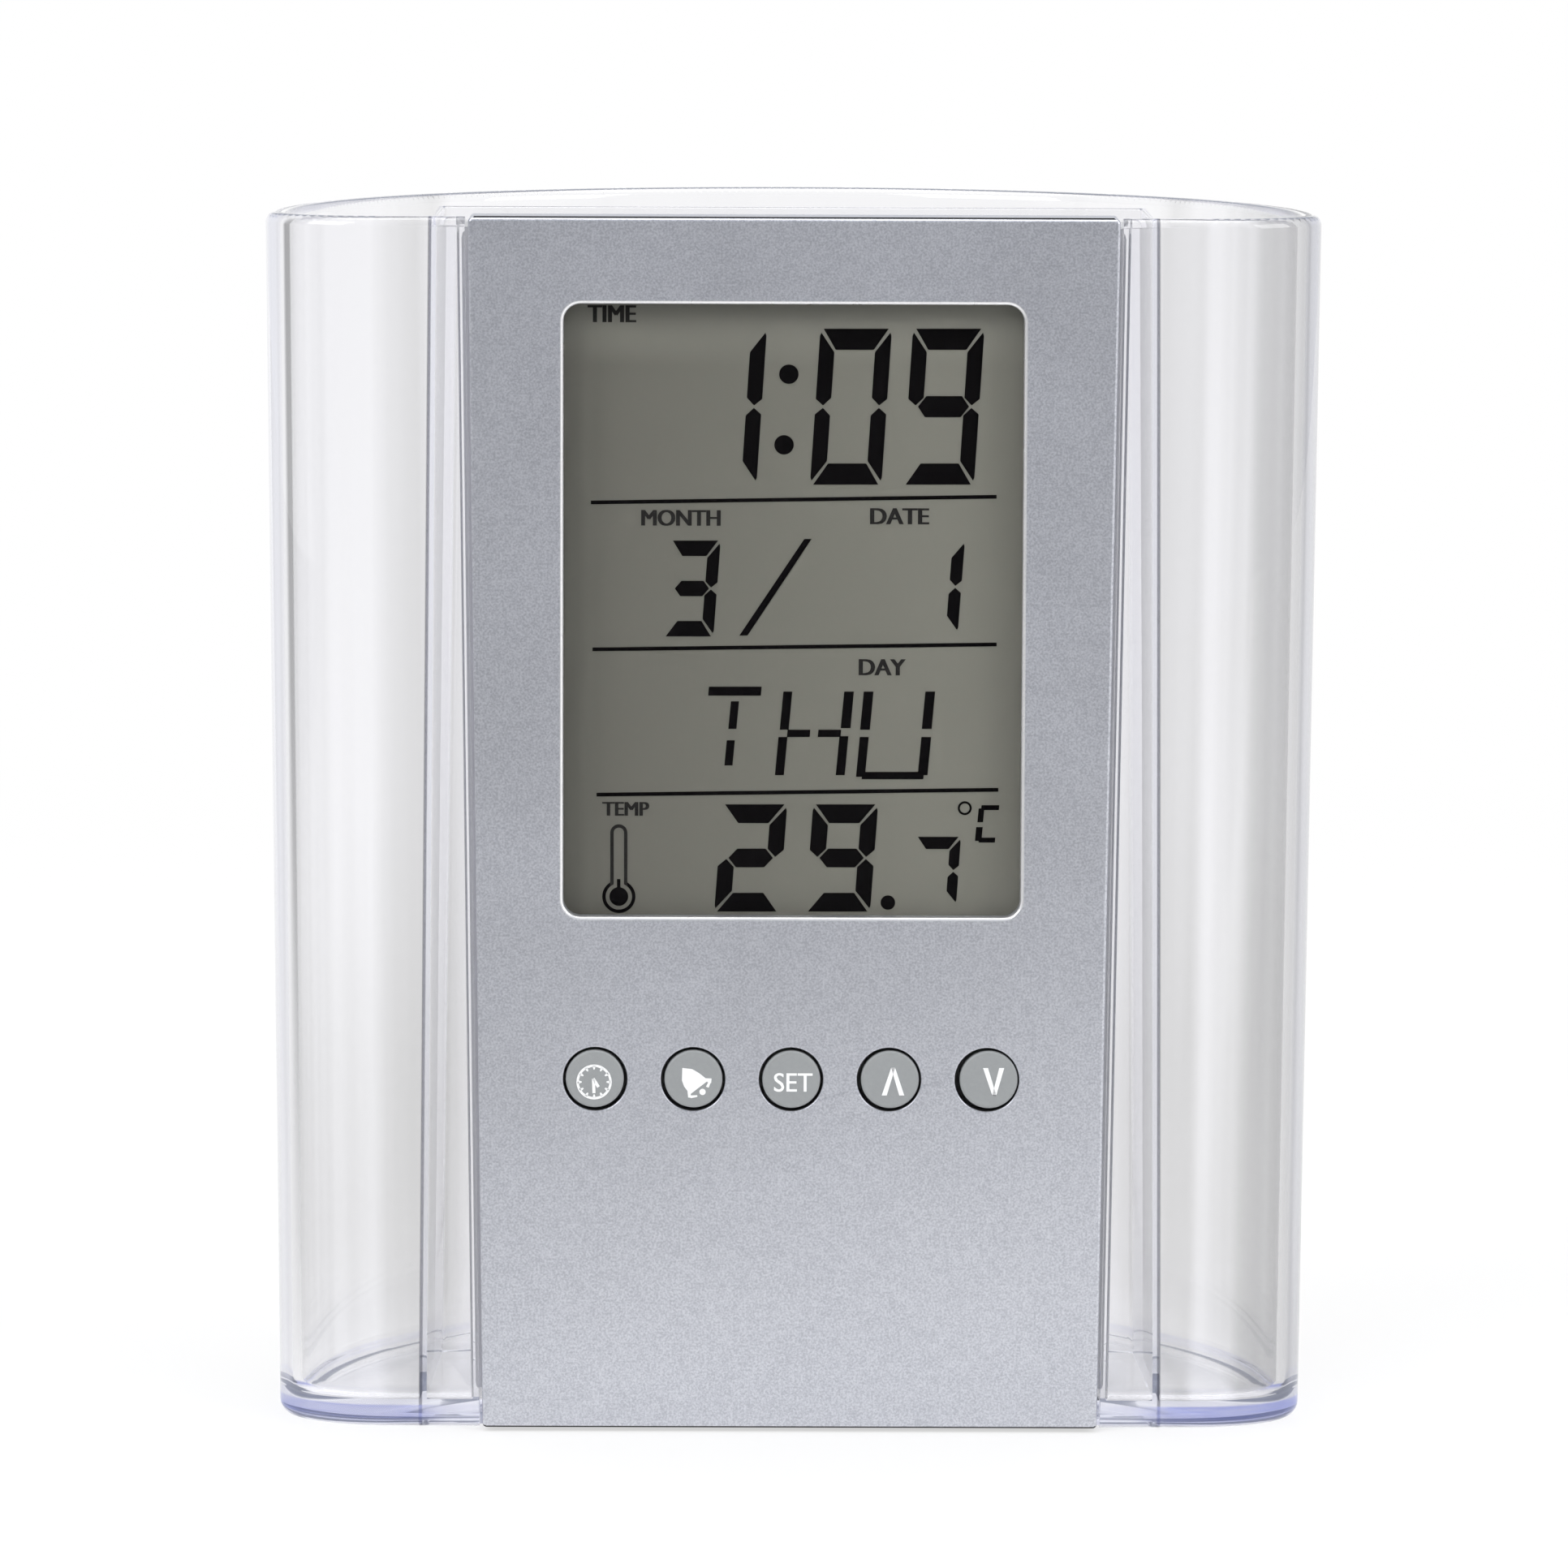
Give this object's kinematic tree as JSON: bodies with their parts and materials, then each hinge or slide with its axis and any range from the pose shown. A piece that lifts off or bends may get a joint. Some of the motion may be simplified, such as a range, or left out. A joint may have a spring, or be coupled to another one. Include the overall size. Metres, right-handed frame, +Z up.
{
  "type": "pen holder clock",
  "caption": "Clear D-shaped desk pen holder with rear and side compartments and a slide-in silver clock module with a calendar display, round push buttons and a battery bay.",
  "frame": {"origin": "middle of the base's footprint, on the desk", "axes": "+Z up, -Y towards the reader of the clock, +X to that reader's right"},
  "size_m": [0.092, 0.0492, 0.1064],
  "materials": {
    "pen_holder": "clear, polished",
    "front_bezel": "silver paint with a fine speckle",
    "display_window": "clear, polished",
    "rear_shell": "fine moulded texture",
    "lcd_front_polariser": "smooth film",
    "lcd_cell": "polished",
    "lcd_reflector": "satin film",
    "lcd_frame": "moulded",
    "contact_strip_upper": "smooth",
    "contact_strip_lower": "smooth",
    "circuit_board": "green solder mask",
    "board_screw_1": "nickel plated",
    "board_screw_2": "nickel plated",
    "board_screw_3": "nickel plated",
    "board_screw_4": "nickel plated",
    "chip_cover": "cast epoxy",
    "quartz_crystal": "plated",
    "capacitor": "sleeved",
    "temperature_sensor": "dipped",
    "keypad": "matte",
    "piezo_buzzer": "bright",
    "lead_buzzer_a": "smooth",
    "lead_buzzer_b": "smooth",
    "lead_plus": "smooth",
    "lead_minus": "smooth",
    "battery_cell_lower": "printed sleeve",
    "battery_cell_upper": "printed sleeve",
    "battery_bridge": "nickel plated",
    "battery_contact_plus": "nickel plated",
    "battery_contact_minus": "nickel plated",
    "battery_spring_lower": "nickel plated",
    "battery_spring_upper": "nickel plated",
    "case_screw_1": "nickel plated",
    "case_screw_2": "nickel plated",
    "case_screw_3": "nickel plated",
    "case_screw_4": "nickel plated",
    "button_clock": "smooth, with a white legend",
    "button_bell": "smooth, with a white legend",
    "button_set": "smooth, with a white legend",
    "button_up": "smooth, with a white legend",
    "button_down": "smooth, with a white legend",
    "battery_door": "fine moulded texture"
  },
  "bodies": {
    "pen_holder": {"pen_holder": "pen_holder"},
    "clock_module": {"front_bezel": "front_bezel", "display_window": "display_window", "rear_shell": "rear_shell", "lcd_front_polariser": "lcd_front_polariser", "lcd_cell": "lcd_cell", "lcd_reflector": "lcd_reflector", "lcd_frame": "lcd_frame", "contact_strip_upper": "contact_strip_upper", "contact_strip_lower": "contact_strip_lower", "circuit_board": "circuit_board", "board_screw_1": "board_screw_1", "board_screw_2": "board_screw_2", "board_screw_3": "board_screw_3", "board_screw_4": "board_screw_4", "chip_cover": "chip_cover", "quartz_crystal": "quartz_crystal", "capacitor": "capacitor", "temperature_sensor": "temperature_sensor", "keypad": "keypad", "piezo_buzzer": "piezo_buzzer", "lead_buzzer_a": "lead_buzzer_a", "lead_buzzer_b": "lead_buzzer_b", "lead_plus": "lead_plus", "lead_minus": "lead_minus", "battery_cell_lower": "battery_cell_lower", "battery_cell_upper": "battery_cell_upper", "battery_bridge": "battery_bridge", "battery_contact_plus": "battery_contact_plus", "battery_contact_minus": "battery_contact_minus", "battery_spring_lower": "battery_spring_lower", "battery_spring_upper": "battery_spring_upper", "case_screw_1": "case_screw_1", "case_screw_2": "case_screw_2", "case_screw_3": "case_screw_3", "case_screw_4": "case_screw_4"},
    "button_clock": {"button_clock": "button_clock"},
    "button_bell": {"button_bell": "button_bell"},
    "button_set": {"button_set": "button_set"},
    "button_up": {"button_up": "button_up"},
    "button_down": {"button_down": "button_down"},
    "battery_door": {"battery_door": "battery_door"}
  },
  "joints": [
    {"name": "clock_module_slide", "type": "slide", "parent": "pen_holder", "child": "clock_module", "axis": [0, 0, 1], "range_m": [0, 0.107]},
    {"name": "battery_door_slide", "type": "slide", "parent": "clock_module", "child": "battery_door", "axis": [0, 0, -1], "range_m": [0, 0.004]},
    {"name": "button_clock_press", "type": "slide", "parent": "clock_module", "child": "button_clock", "axis": [0, 1, 0], "range_m": [0, 0.0008], "stiffness_N_per_m": 500},
    {"name": "button_bell_press", "type": "slide", "parent": "clock_module", "child": "button_bell", "axis": [0, 1, 0], "range_m": [0, 0.0008], "stiffness_N_per_m": 500},
    {"name": "button_set_press", "type": "slide", "parent": "clock_module", "child": "button_set", "axis": [0, 1, 0], "range_m": [0, 0.0008], "stiffness_N_per_m": 500},
    {"name": "button_up_press", "type": "slide", "parent": "clock_module", "child": "button_up", "axis": [0, 1, 0], "range_m": [0, 0.0008], "stiffness_N_per_m": 500},
    {"name": "button_down_press", "type": "slide", "parent": "clock_module", "child": "button_down", "axis": [0, 1, 0], "range_m": [0, 0.0008], "stiffness_N_per_m": 500}
  ]
}
